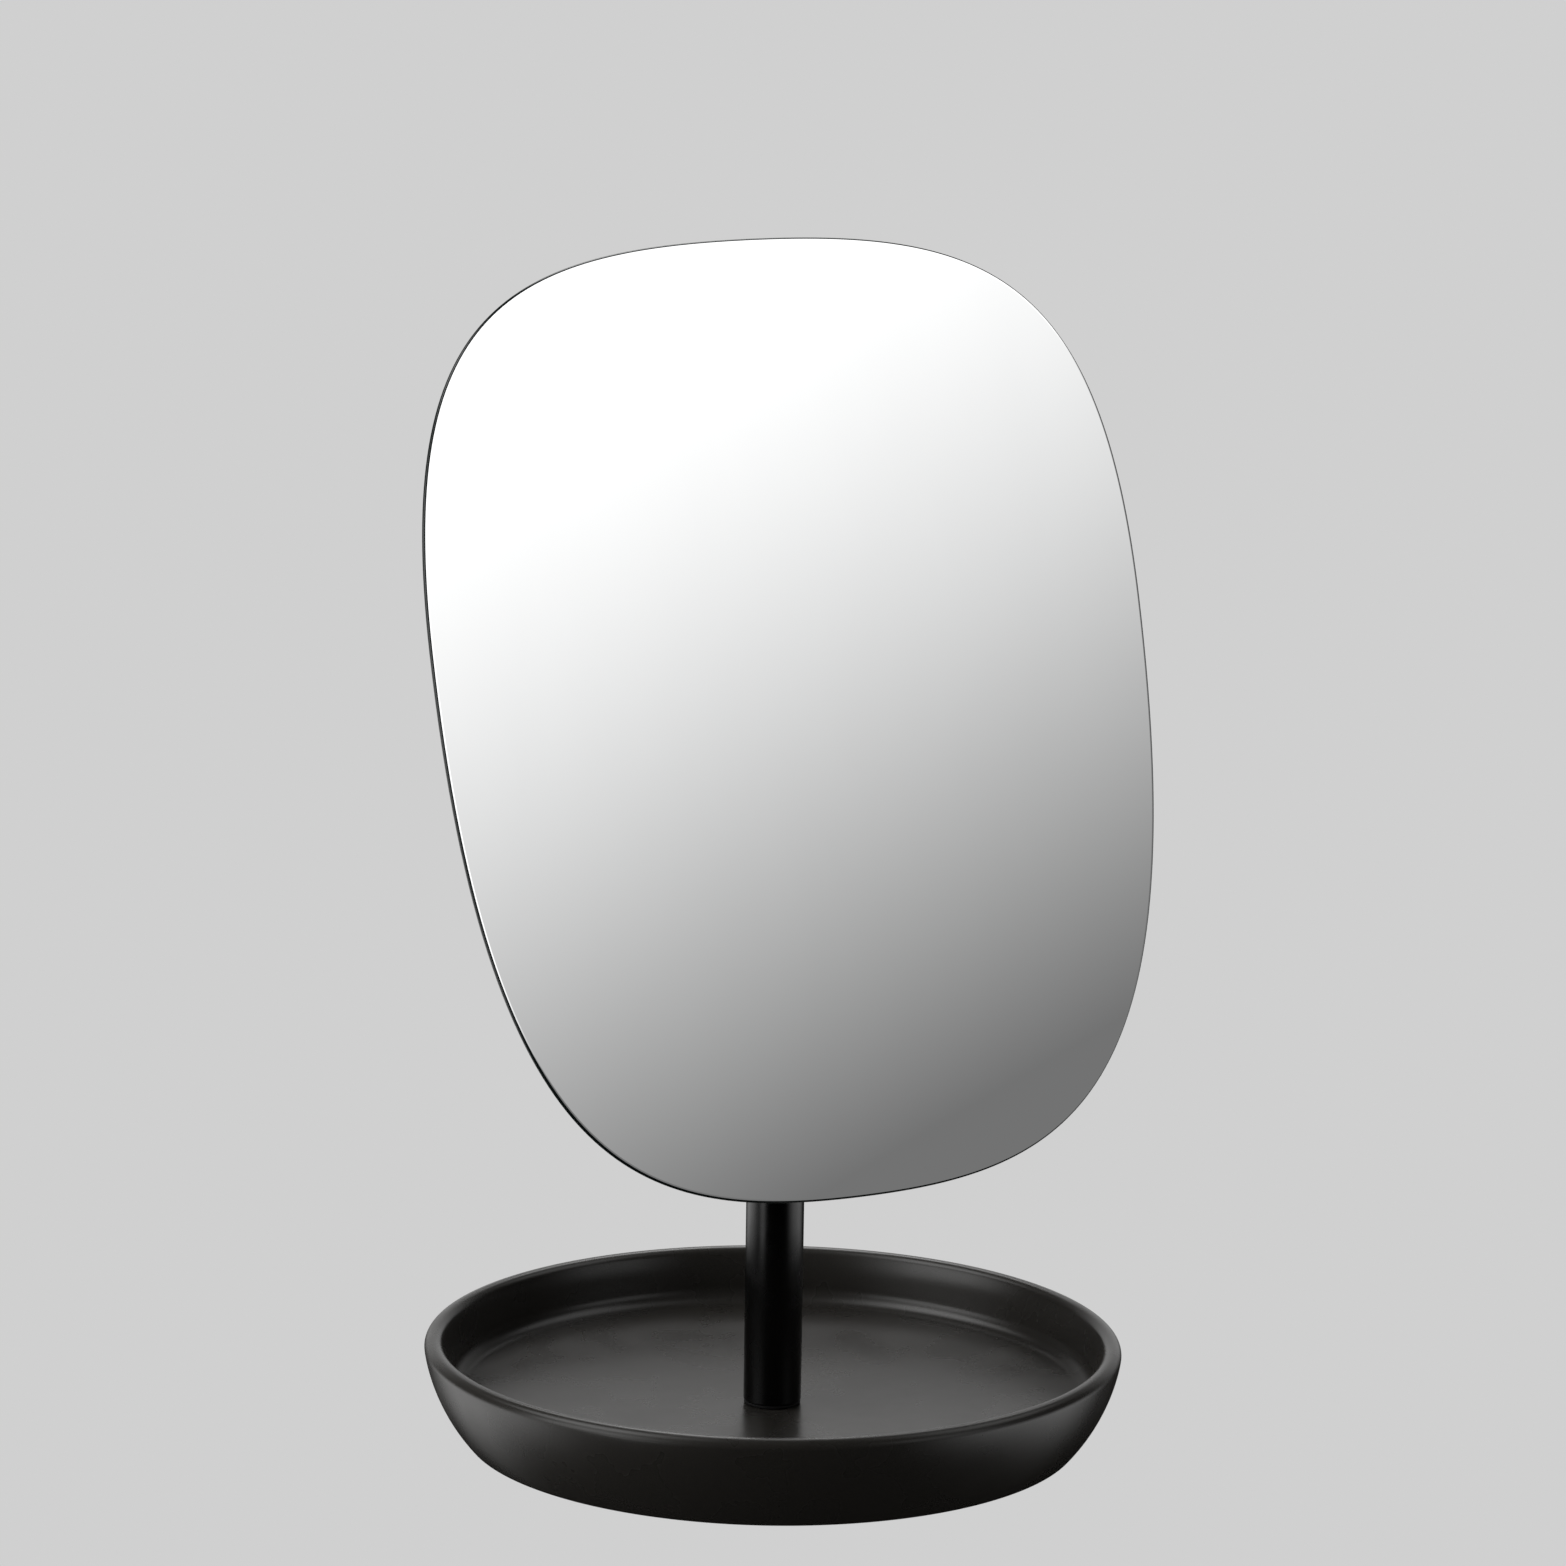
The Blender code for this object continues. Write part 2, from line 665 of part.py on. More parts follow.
axle_length = axle_head + tilt_nut_end + AXLE_OVERHANG
axle = button_screw("tilt_axle", M5_RADIUS, axle_length, AXLE_HEAD, BLACK_STEEL)
place(axle, tilt_pivot, (-axle_head, 0, 0), ALONG_U)


def stud_places():
    return [(u, v) for v in (STUD_V, -STUD_V) for u in (-STUD_U, STUD_U)]


# Hinge bracket: a notched plate with two ears

plate_outline = rounded(
    [
        (-BRACKET_HALF_WIDTH, -BRACKET_HALF_HEIGHT),
        (-NOTCH_HALF_WIDTH, -BRACKET_HALF_HEIGHT),
        (-NOTCH_HALF_WIDTH, -EAR_FOOT),
        (NOTCH_HALF_WIDTH, -EAR_FOOT),
        (NOTCH_HALF_WIDTH, -BRACKET_HALF_HEIGHT),
        (BRACKET_HALF_WIDTH, -BRACKET_HALF_HEIGHT),
        (BRACKET_HALF_WIDTH, BRACKET_HALF_HEIGHT),
        (-BRACKET_HALF_WIDTH, BRACKET_HALF_HEIGHT),
    ],
    BRACKET_CORNER,
)
stud_holes = [circle(u, v, STUD_HOLE_RADIUS) for u, v in stud_places()]
bracket = flat("hinge_bracket", (plate_outline, *stud_holes), BRACKET_THICKNESS, POWDER_COAT)
place(bracket, tilt_pivot, (0, 0, (BRACKET_BACK + BRACKET_FRONT) / 2))
bracket = as_mesh(bracket)
ear_outline = [
    (EAR_FOOT, BRACKET_FRONT - EAR_ROOT),
    (-EAR_FOOT, BRACKET_FRONT - EAR_ROOT),
    (-EAR_FOOT, BRACKET_BACK - EAR_SHOULDER),
    *arc(0, 0, KNUCKLE_RADIUS, 180, 360, 16),
    (EAR_FOOT, BRACKET_BACK - EAR_SHOULDER),
]
for side, name in ((-1, "ear_left"), (1, "ear_right")):
    ear = flat(name, (ear_outline, circle(0, 0, M5_HOLE_RADIUS)), EAR_THICKNESS, POWDER_COAT)
    place(ear, tilt_pivot, (side * (EAR_INNER + EAR_OUTER) / 2, 0, 0), FACING_U)
    combine(bracket, as_mesh(ear), "UNION")

# Studs, welded to the back plate, and the nuts that hold the bracket on them

stud_root = PLATE_BACK - GAP
nut_front = BRACKET_BACK - GAP
stud_end = nut_front - NUT_M4_THICKNESS - STUD_OVERHANG
for number, (u, v) in enumerate(stud_places(), 1):
    stud = turned(
        f"weld_stud_{number}",
        [
            (0, stud_root - stud_end),
            (STUD_RADIUS, stud_root - stud_end),
            (STUD_RADIUS, THREAD_CHAMFER),
            (STUD_RADIUS - THREAD_CHAMFER, 0),
            (0, 0),
        ],
        BLACK_STEEL,
    )
    place(stud, tilt_pivot, (u, v, stud_end))
    nut = flat(
        f"bracket_nut_{number}",
        (hexagon(NUT_M4_FLATS), circle(0, 0, STUD_HOLE_RADIUS)),
        NUT_M4_THICKNESS,
        BLACK_STEEL,
    )
    place(nut, tilt_pivot, (u, v, nut_front - NUT_M4_THICKNESS / 2))

# Back plate, the tape on it and the mirror glass

back_plate = mirror_plate("back_plate", PLATE_INSET, PLATE_THICKNESS, POWDER_COAT)
place(back_plate, tilt_pivot, (0, 0, PLATE_BACK + PLATE_THICKNESS / 2))

for number, (u, length) in enumerate(TAPE_STRIPS, 1):
    strip = box(f"tape_strip_{number}", (TAPE_WIDTH, length, TAPE_THICKNESS), TAPE)
    place(strip, tilt_pivot, (u, 0, TAPE_BACK + TAPE_THICKNESS / 2))

glass = mirror_plate("mirror_glass", 0, GLASS_THICKNESS, SILVERED)
place(glass, tilt_pivot, (0, 0, GLASS_BACK + GLASS_THICKNESS / 2))
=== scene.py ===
"""Looks of the countertop mirror: fine meshes, materials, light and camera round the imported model.

Metres, +Z up. The mirror faces -Y at rest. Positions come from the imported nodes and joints.
"""

import json
import math

import bmesh
import bpy
from mathutils import Matrix, Vector


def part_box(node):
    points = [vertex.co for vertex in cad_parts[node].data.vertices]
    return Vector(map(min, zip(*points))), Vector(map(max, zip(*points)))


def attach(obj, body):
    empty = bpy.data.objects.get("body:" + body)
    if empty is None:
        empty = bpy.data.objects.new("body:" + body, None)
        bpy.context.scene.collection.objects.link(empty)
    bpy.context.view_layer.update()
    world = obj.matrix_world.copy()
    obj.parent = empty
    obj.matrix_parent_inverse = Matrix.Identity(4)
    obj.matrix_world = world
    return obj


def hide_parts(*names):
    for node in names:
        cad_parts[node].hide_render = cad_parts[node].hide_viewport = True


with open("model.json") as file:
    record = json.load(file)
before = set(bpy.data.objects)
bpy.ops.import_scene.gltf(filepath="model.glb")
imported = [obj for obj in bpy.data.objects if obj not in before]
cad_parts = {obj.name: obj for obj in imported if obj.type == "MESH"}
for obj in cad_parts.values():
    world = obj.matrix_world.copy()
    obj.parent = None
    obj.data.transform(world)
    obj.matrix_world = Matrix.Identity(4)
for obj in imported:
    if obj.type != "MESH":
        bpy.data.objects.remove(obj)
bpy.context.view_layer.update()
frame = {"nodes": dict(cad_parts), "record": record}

MM = 0.001
GAP = 0.3 * MM  # left between touching pieces

# Camera: 2 m from the dish's rim, to the left of the mirror's front
CAMERA_PLACE = (-0.9004, -1.6942, 0.5953)
CAMERA_AZIMUTH = math.radians(28)  # to the left of straight in front
CAMERA_PITCH = math.radians(11.42)
CAMERA_ROLL = math.radians(0.9)
CAMERA_LENS = 146.99
CAMERA_SENSOR = 36
BACKDROP = 0.631  # linear tone of the floor and the backdrop

# Floor and light
FLOOR_RADIUS = 40
FLOOR_GAP = 0.1 * MM  # under the pad
# Softboxes: azimuth from the camera's side (degrees, + to the right) and half the width, height
# (the sine of the elevation) and half of it, and brightness
SOFTBOXES = (
    (-62, 34, 0.20, 0.44, 2.2),  # left, level with the object
    (-50, 16, -0.28, 0.20, 1.8),  # left, a small one below the table's level
    (-79, 48, 0.75, 0.26, 3.0),  # left, overhead
    (180, 31, 0.75, 0.26, 4.2),  # behind, overhead
    (101, 48, 0.75, 0.26, 1.0),  # right, overhead
    (60, 28, 0.26, 0.36, 0.7),  # right, level with the object
    (180, 60, 0.17, 0.42, 0.7),  # behind, low
    (-110, 50, -0.35, 0.38, 1.5),  # left, below the table's level
    (95, 50, -0.30, 0.40, 1.3),  # right, below the table's level
)
SOFTBOX_CORE = 0.2  # the share of a softbox's half-size that is fully bright
# The soft gradient that the mirror reflects
FADE_AXIS = (-0.3807, 0.1185, 0.9171)  # the way it grows brighter
FADE_START = -0.119
FADE_END = 0.110
FADE_LEAST = 0.18
FADE_MOST = 1.34

# Dish
RIM_ROUND = 2.9 * MM
FILLET = 5.5 * MM
FLOOR_RISE = 3.2 * MM  # the floor is slightly hollow
FLOOR_RINGS = 32
FOOT_RADIUS = 95.2 * MM
FOOT_EASE = 1.2 * MM
FOOT_FLARE_OUT = 11.5 * MM
FOOT_FLARE_UP = 13 * MM
WALL_LEAN = math.radians(18)  # how far the inner wall leans at the lip
WALL_HANDLE = 1 * MM
WALL_DRAFT = 1.3 * MM
HOLE_RADIUS = 4.5 * MM
POCKET_RADIUS = 20 * MM
POCKET_ROOF = 3 * MM
UNDER_EASE = 0.4 * MM

# Stem and swivel head
STEM_WALL = 1.5 * MM
STEM_EDGE = 0.35 * MM
GASKET_EDGE = 0.25 * MM
GLIDE_EDGE = 0.2 * MM
DRILL_HALF = 6 * MM  # half the length of the set screw's hole cutter
SET_SCREW_SOCKET = 2 * MM
SET_SCREW_POINT = 0.7 * MM
SET_SCREW_CHAMFER = 0.25 * MM
SET_SCREW_MOUTH = 1.25 * MM  # radius of the countersink round its socket
SET_SCREW_SINK = 0.2 * MM
SET_SCREW_CONE = 0.4 * MM
BARREL_HEIGHT = 10.4 * MM
BARREL_EDGE = 0.9 * MM
BARREL_BORE = 8 * MM  # depth of the swivel screw's hole
TONGUE_ROOT = 1.2 * MM  # how far the tongue reaches into the barrel
TONGUE_HALF = 4 * MM
TONGUE_EDGE = 0.5 * MM

# Hinge and fasteners
REST_TILT = math.radians(16)
M4 = 2 * MM
M5 = 2.5 * MM
M6 = 3 * MM
M4_PITCH = 0.7 * MM
M5_PITCH = 0.8 * MM
M4_TIP = 0.45 * MM
M5_TIP = 0.5 * MM
M4_FLATS = 7 * MM
M5_FLATS = 8 * MM
NUT_CHAMFER = math.radians(30)
NUT_SINK = 0.3 * MM
NUT_LAND = 0.97  # the flat face's share of the width across flats
BOLT_PLAY = 0.3 * MM
BOLT_HEAD = 2.8 * MM
BOLT_SOCKET = 3 * MM
BOLT_CROWN = 1.95 * MM  # radius of the flat on top of the bolt's head
BOLT_EASE = 0.15 * MM
BOLT_THREAD = 7.5 * MM
SHANK_STOP = 8 * MM  # from the bolt's end; inside the ear, just short of the thread
SHANK_PLAY = 0.02 * MM
DISC_EDGE = 0.2 * MM
SPRING_SHEET = 0.5 * MM
SPRING_EDGE = 0.1 * MM
KNUCKLE = 7 * MM
BRACKET_SHEET = 2.5 * MM
BRACKET_CORNER = 2.5 * MM
NOTCH_HALF = 9.6 * MM
NOTCH_TOP = 10 * MM  # from the notch's top edge to the tilt axis
EAR = 3 * MM
EAR_HALF = 10 * MM  # half the ear's width where it meets the plate
EAR_ROOT = 1 * MM  # how deep the ear's foot sits behind the plate's front
EAR_STRAIGHT = 0.5 * MM  # the straight part of its sides, behind the plate
EAR_EDGE = 0.4 * MM
SHEET_EDGE = 0.35 * MM
NUT_TURN = math.radians(17)  # each nut is turned this much further than the last
GLASS_SILVER = math.radians(24)  # how far round the glass's edge the silvering shows

# The mirror's outline: four anchors with free handles
WIDEST = 27.9 * MM
HANDLE_TOP = 83 * MM
HANDLE_BOTTOM = 72.4 * MM
HANDLE_UP = 102 * MM
HANDLE_DOWN = 158.2 * MM

joints = {joint["name"]: joint for joint in frame["record"]["behaviour"]["joints"]}
TILT_AXIS = Vector(joints["mirror_tilt"]["pos_m"])
MIRROR = Matrix.Translation(TILT_AXIS) @ Matrix.Rotation(math.pi / 2 - REST_TILT, 4, "X")
ALONG_U = Matrix.Rotation(math.pi / 2, 4, "Y")  # lays a piece's Z along the tilt axis
FACING_U = Matrix.Rotation(math.pi / 2, 4, "Z") @ Matrix.Rotation(math.pi / 2, 4, "X")


def box_in(node, space):
    """A node's lowest and highest corners, measured in a tilted frame."""
    back = space.inverted()
    points = [back @ v.co for v in frame["nodes"][node].data.vertices]
    low = Vector([min(p[k] for p in points) for k in range(3)])
    high = Vector([max(p[k] for p in points) for k in range(3)])
    return low, high


# Materials


def new_material(name, color, roughness, metallic=0.0, specular=0.5):
    made = bpy.data.materials.new(name)
    made.use_nodes = True
    shader = made.node_tree.nodes["Principled BSDF"]
    shader.inputs["Base Color"].default_value = (*color, 1)
    shader.inputs["Roughness"].default_value = roughness
    shader.inputs["Metallic"].default_value = metallic
    shader.inputs["Specular IOR Level"].default_value = specular
    return made


def noise(material, feature, detail=2.0, stretch=(1, 1, 1), distortion=0.0):
    """A noise texture whose features are about this size, in metres."""
    tree = material.node_tree
    place = tree.nodes.new("ShaderNodeTexCoord")
    mapping = tree.nodes.new("ShaderNodeMapping")
    mapping.inputs["Scale"].default_value = stretch
    texture = tree.nodes.new("ShaderNodeTexNoise")
    texture.inputs["Scale"].default_value = 1 / feature
    texture.inputs["Detail"].default_value = detail
    texture.inputs["Distortion"].default_value = distortion
    tree.links.new(place.outputs["Object"], mapping.inputs["Vector"])
    tree.links.new(mapping.outputs["Vector"], texture.inputs["Vector"])
    return texture.outputs["Fac"]


def ranged(material, value, low, high, start=0.3, end=0.7):
    """The value's middle range, spread from low to high."""
    node = material.node_tree.nodes.new("ShaderNodeMapRange")
    node.inputs["From Min"].default_value = start
    node.inputs["From Max"].default_value = end
    node.inputs["To Min"].default_value = low
    node.inputs["To Max"].default_value = high
    material.node_tree.links.new(value, node.inputs["Value"])
    return node.outputs["Result"]


def tinted(material, value, dark, light):
    """The base colour runs between two colours with the value."""
    tree = material.node_tree
    mix = tree.nodes.new("ShaderNodeMix")
    mix.data_type = "RGBA"
    mix.inputs["A"].default_value = (*dark, 1)
    mix.inputs["B"].default_value = (*light, 1)
    tree.links.new(value, mix.inputs["Factor"])
    tree.links.new(mix.outputs["Result"], tree.nodes["Principled BSDF"].inputs["Base Color"])


def roughened(material, value):
    tree = material.node_tree
    tree.links.new(value, tree.nodes["Principled BSDF"].inputs["Roughness"])


def bumped(material, layers):
    """Bump from one or more (value, height in metres) layers, one on top of the other."""
    tree = material.node_tree
    normal = None
    for value, height in layers:
        bump = tree.nodes.new("ShaderNodeBump")
        bump.inputs["Strength"].default_value = 1
        bump.inputs["Distance"].default_value = height
        tree.links.new(value, bump.inputs["Height"])
        if normal:
            tree.links.new(normal, bump.inputs["Normal"])
        normal = bump.outputs["Normal"]
    tree.links.new(normal, tree.nodes["Principled BSDF"].inputs["Normal"])


def ceramic():
    """Satin black glaze: fine grain in it, and a slow unevenness that softens its highlights."""
    made = new_material("satin_ceramic", (0.022, 0.022, 0.020), 0.3)
    grain = noise(made, 0.35 * MM, detail=3)
    clouds = noise(made, 18 * MM, detail=3)
    tinted(made, ranged(made, grain, 0, 1), (0.028, 0.026, 0.023), (0.042, 0.039, 0.035))
    roughened(made, ranged(made, clouds, 0.25, 0.31))
    bumped(made, [(noise(made, 5 * MM, detail=1), 0.010 * MM), (grain, 0.006 * MM)])
    return made


def powder_coat(name, dark, light):
    """Fine black powder coat, with a slight orange peel."""
    made = new_material(name, light, 0.3)
    peel = noise(made, 1.1 * MM, detail=1)
    specks = noise(made, 0.22 * MM, detail=2)
    tinted(made, ranged(made, specks, 0, 1), dark, light)
    roughened(made, ranged(made, noise(made, 9 * MM, detail=2), 0.22, 0.29))
    bumped(made, [(peel, 0.006 * MM), (specks, 0.003 * MM)])
    return made


def silvering():
    """The mirror's face: silver behind clear glass, with faint wiping marks."""
    made = new_material("silvered_glass", (0.93, 0.935, 0.935), 0, metallic=1.0)
    wiped = noise(made, 30 * MM, detail=4, stretch=(1, 0.35, 1), distortion=0.6)
    tinted(made, ranged(made, wiped, 0, 1), (0.925, 0.93, 0.93), (0.935, 0.94, 0.94))
    return made


def glass_edge():
    """The ground and polished edge of the glass."""
    made = new_material("polished_glass_edge", (0.012, 0.018, 0.017), 0.12)
    made.node_tree.nodes["Principled BSDF"].inputs["IOR"].default_value = 1.52
    roughened(made, ranged(made, noise(made, 0.4 * MM), 0.08, 0.16))
    bumped(made, [(noise(made, 0.3 * MM, detail=1, stretch=(1, 1, 0.3)), 0.002 * MM)])
    return made


def mirror_backing():
    """Paint over the silvering, on the back of the glass."""
    made = new_material("mirror_backing_paint", (0.12, 0.13, 0.14), 0.55)
    tinted(
        made, ranged(made, noise(made, 2 * MM), 0, 1), (0.10, 0.11, 0.12), (0.14, 0.15, 0.16)
    )
    bumped(made, [(noise(made, 0.6 * MM), 0.004 * MM)])
    return made


def steel(name, dark, light, smooth, rough):
    """Turned or plated steel: mottled colour, and fine marks round the piece."""
    made = new_material(name, light, smooth, metallic=1.0)
    mottle = noise(made, 1.6 * MM, detail=4)
    marks = noise(made, 0.12 * MM, detail=2, stretch=(0.15, 0.15, 1))
    tinted(made, ranged(made, mottle, 0, 1), dark, light)
    roughened(made, ranged(made, marks, smooth, rough))
    bumped(made, [(marks, 0.003 * MM)])
    return made


def soft_plastic(name, dark, light, rough, feature, height):
    """Rubber, nylon or foam: matt, with a fine uneven surface."""
    made = new_material(name, light, rough, specular=0.3)
    grain = noise(made, feature, detail=4)
    tinted(made, ranged(made, grain, 0, 1), dark, light)
    roughened(made, ranged(made, noise(made, feature * 4), rough - 0.08, rough + 0.06))
    bumped(made, [(grain, height)])
    return made


CERAMIC = ceramic()
# The stem's coat is the same black powder coat as the head's, made almost black: painted shade for a
# stem that gets no light from the front.
PAINTED_SHADE_COAT = powder_coat("black_paint", (0.0003, 0.0003, 0.0003), (0.0008, 0.0008, 0.0008))
HEAD_COAT = powder_coat("black_paint_head", (0.014, 0.014, 0.014), (0.022, 0.022, 0.022))
SILVER = silvering()
EDGE = glass_edge()
BACKING = mirror_backing()
ZINC = steel("zinc_steel", (0.44, 0.45, 0.46), (0.60, 0.61, 0.62), 0.26, 0.42)
DARK_STEEL = steel("dark_steel", (0.035, 0.035, 0.038), (0.075, 0.075, 0.08), 0.3, 0.45)
RUBBER = soft_plastic(
    "black_rubber", (0.008, 0.008, 0.008), (0.02, 0.02, 0.02), 0.8, 0.5 * MM, 0.03 * MM
)
NYLON = soft_plastic(
    "nylon", (0.012, 0.012, 0.012), (0.022, 0.022, 0.022), 0.5, 0.6 * MM, 0.008 * MM
)
FOAM = soft_plastic(
    "foam_tape", (0.55, 0.55, 0.53), (0.72, 0.72, 0.70), 0.85, 0.25 * MM, 0.05 * MM
)
FINISHES = {
    "satin_ceramic": CERAMIC,
    "black_paint": PAINTED_SHADE_COAT,
    "silvered_glass": SILVER,
    "zinc_steel": ZINC,
    "dark_steel": DARK_STEEL,
    "black_rubber": RUBBER,
    "nylon": NYLON,
    "foam_tape": FOAM,
}
SLOT_OF = {part["node"]: part["material_slot"] for part in frame["record"]["subparts"]}
BODY_OF = {
    node: body
    for body, nodes in frame["record"]["behaviour"]["bodies"].items()
    for node in nodes
}
for node, obj in frame["nodes"].items():
    obj.data.materials.clear()
    obj.data.materials.append(FINISHES[SLOT_OF[node]])


# Shape helpers


def arc(cx, cy, radius, start, end, steps):
    """Points on a circle from one angle to another, in degrees, with both ends."""
    angles = [math.radians(start + (end - start) * i / steps) for i in range(steps + 1)]
    return [(cx + radius * math.cos(a), cy + radius * math.sin(a)) for a in angles]


def cubic(p0, p1, p2, p3, steps):
    """Points along a cubic curve, with both ends."""
    points = []
    for i in range(steps + 1):
        t = i / steps
        weights = ((1 - t) ** 3, 3 * t * (1 - t) ** 2, 3 * t * t * (1 - t), t**3)
        weighted = list(zip(weights, (p0, p1, p2, p3)))
        points.append(tuple(sum(w * p[k] for w, p in weighted) for k in (0, 1)))
    return points


def eased(points, radius, steps=4, closed=True):
    """A polygon's points with its corners rounded."""
    made = []
    count = len(points)
    for i, corner in enumerate(points):
        if not closed and i in (0, count - 1):
            made.append(corner)
            continue
        here = Vector(corner)
        before = Vector(points[i - 1]) - here
        after = Vector(points[(i + 1) % count]) - here
        reach = min(radius, before.length * 0.49, after.length * 0.49)
        start = here + before.normalized() * reach
        end = here + after.normalized() * reach
        for j in range(steps + 1):
            t = j / steps
            point = start * (1 - t) ** 2 + here * 2 * t * (1 - t) + end * t * t
            made.append(tuple(point))
    return made


def finish_mesh(name, mesh, finish, angle=35, flat_ends=False):
    """Shades a mesh, keeps its hard edges, and makes it an object.

    Flat ends are faces that look straight along Z.
    """
    mesh.materials.append(finish)
    mesh.validate()
    mesh.shade_smooth()
    mesh.set_sharp_from_angle(angle=math.radians(angle))
    if flat_ends:
        for face in mesh.polygons:
            face.use_smooth = abs(face.normal.z) < 0.9999
    obj = bpy.data.objects.new(name, mesh)
    bpy.context.scene.collection.objects.link(obj)
    return obj


def stacked(name, rings, finish, closed=False, steps=96, angle=35):
    """A skin over rings about Z.

    Each ring is (radius, height), and both can be functions of the angle.
    """
    verts = []
    rows = []
    for radius, height in rings:
        if radius == 0:
            rows.append([len(verts)] * steps)
            verts.append((0, 0, height))
            continue
        row = []
        for i in range(steps):
            a = 2 * math.pi * i / steps
            r = radius(a) if callable(radius) else radius
            z = height(a) if callable(height) else height
            row.append(len(verts))
            verts.append((r * math.cos(a), r * math.sin(a), z))
        rows.append(row)
    pairs = list(zip(rows, rows[1:]))
    if closed:
        pairs.append((rows[-1], rows[0]))
    faces = []
    for above, below in pairs:
        for i in range(steps):
            j = (i + 1) % steps
            corners = [above[i], below[i], below[j], above[j]]
            unique = list(dict.fromkeys(corners))
            if len(unique) > 2:
                faces.append(unique)
    mesh = bpy.data.meshes.new(name)
    mesh.from_pydata(verts, [], faces)
    return finish_mesh(name, mesh, finish, angle)


def hexagonal(across_flats):
    """A hexagon's radius, as a function of the angle."""

    def radius(a):
        return across_flats / 2 / math.cos((a + math.pi / 6) % (math.pi / 3) - math.pi / 6)

    return radius


def ring_piece(name, inner, outer, bottom, top, finish, ease, steps=96):
    """A washer or a sleeve with rounded edges."""
    profile = eased([(inner, top), (outer, top), (outer, bottom), (inner, bottom)], ease)
    return stacked(name, profile, finish, closed=True, steps=steps)


def slab(name, outline, holes, bottom, top, finish, edge, angle=35):
    """A flat plate between two heights, with holes through it and rounded edges."""
    work = bmesh.new()
    loops = []
    for points in (outline, *holes):
        verts = [work.verts.new((x, y, bottom)) for x, y in points]
        loops.append([work.edges.new((verts[i - 1], verts[i])) for i in range(len(verts))])
    bmesh.ops.triangle_fill(
        work, use_beauty=True, use_dissolve=False, edges=[e for loop in loops for e in loop]
    )
    for face in work.faces:
        if face.normal.z > 0:
            face.normal_flip()
    inner = [e for e in work.edges if len(e.link_faces) == 2]
    bmesh.ops.dissolve_limit(work, angle_limit=0.01, verts=work.verts, edges=inner)
    lower = list(work.faces)
    raised = bmesh.ops.extrude_face_region(work, geom=lower, use_keep_orig=True)
    lifted = [g for g in raised["geom"] if isinstance(g, bmesh.types.BMVert)]
    bmesh.ops.translate(work, verts=lifted, vec=(0, 0, top - bottom))
    bmesh.ops.recalc_face_normals(work, faces=work.faces)
    rims = [
        e
        for e in work.edges
        if len(e.link_faces) == 2
        and e.calc_face_angle(0) > math.radians(60)
        and abs(e.verts[0].co.z - e.verts[1].co.z) < 1e-7
    ]
    bmesh.ops.bevel(
        work, geom=rims, offset=edge, segments=3, profile=0.5, affect="EDGES", clamp_overlap=True
    )
    mesh = bpy.data.meshes.new(name)
    work.to_mesh(mesh)
    work.free()
    return finish_mesh(name, mesh, finish, angle, flat_ends=True)


def joined(name, pieces):
    """Several shapes as one piece. The first one's place is kept."""
    bpy.context.view_layer.update()
    base = pieces[0]
    work = bmesh.new()
    for piece in pieces:
        part = piece.data.copy()
        part.transform(base.matrix_world.inverted() @ piece.matrix_world)
        work.from_mesh(part)
        bpy.data.meshes.remove(part)
    mesh = bpy.data.meshes.new(name)
    work.to_mesh(mesh)
    work.free()
    mesh.materials.append(base.data.materials[0])
    made = bpy.data.objects.new(name, mesh)
    bpy.context.scene.collection.objects.link(made)
    made.matrix_world = base.matrix_world.copy()
    for piece in pieces:
        bpy.data.objects.remove(piece)
    return made


def stands_for(obj, node, place=None):
    """Puts a finished piece in its place, on the body of the CAD node that it replaces."""
    if place is not None:
        obj.matrix_world = place
    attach(obj, BODY_OF[node])
    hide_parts(node)


def circle(x, y, radius, steps=48):
    """Points once round a circle."""
    return arc(x, y, radius, 0, 360 - 360 / steps, steps - 1)


# Dish and its pad


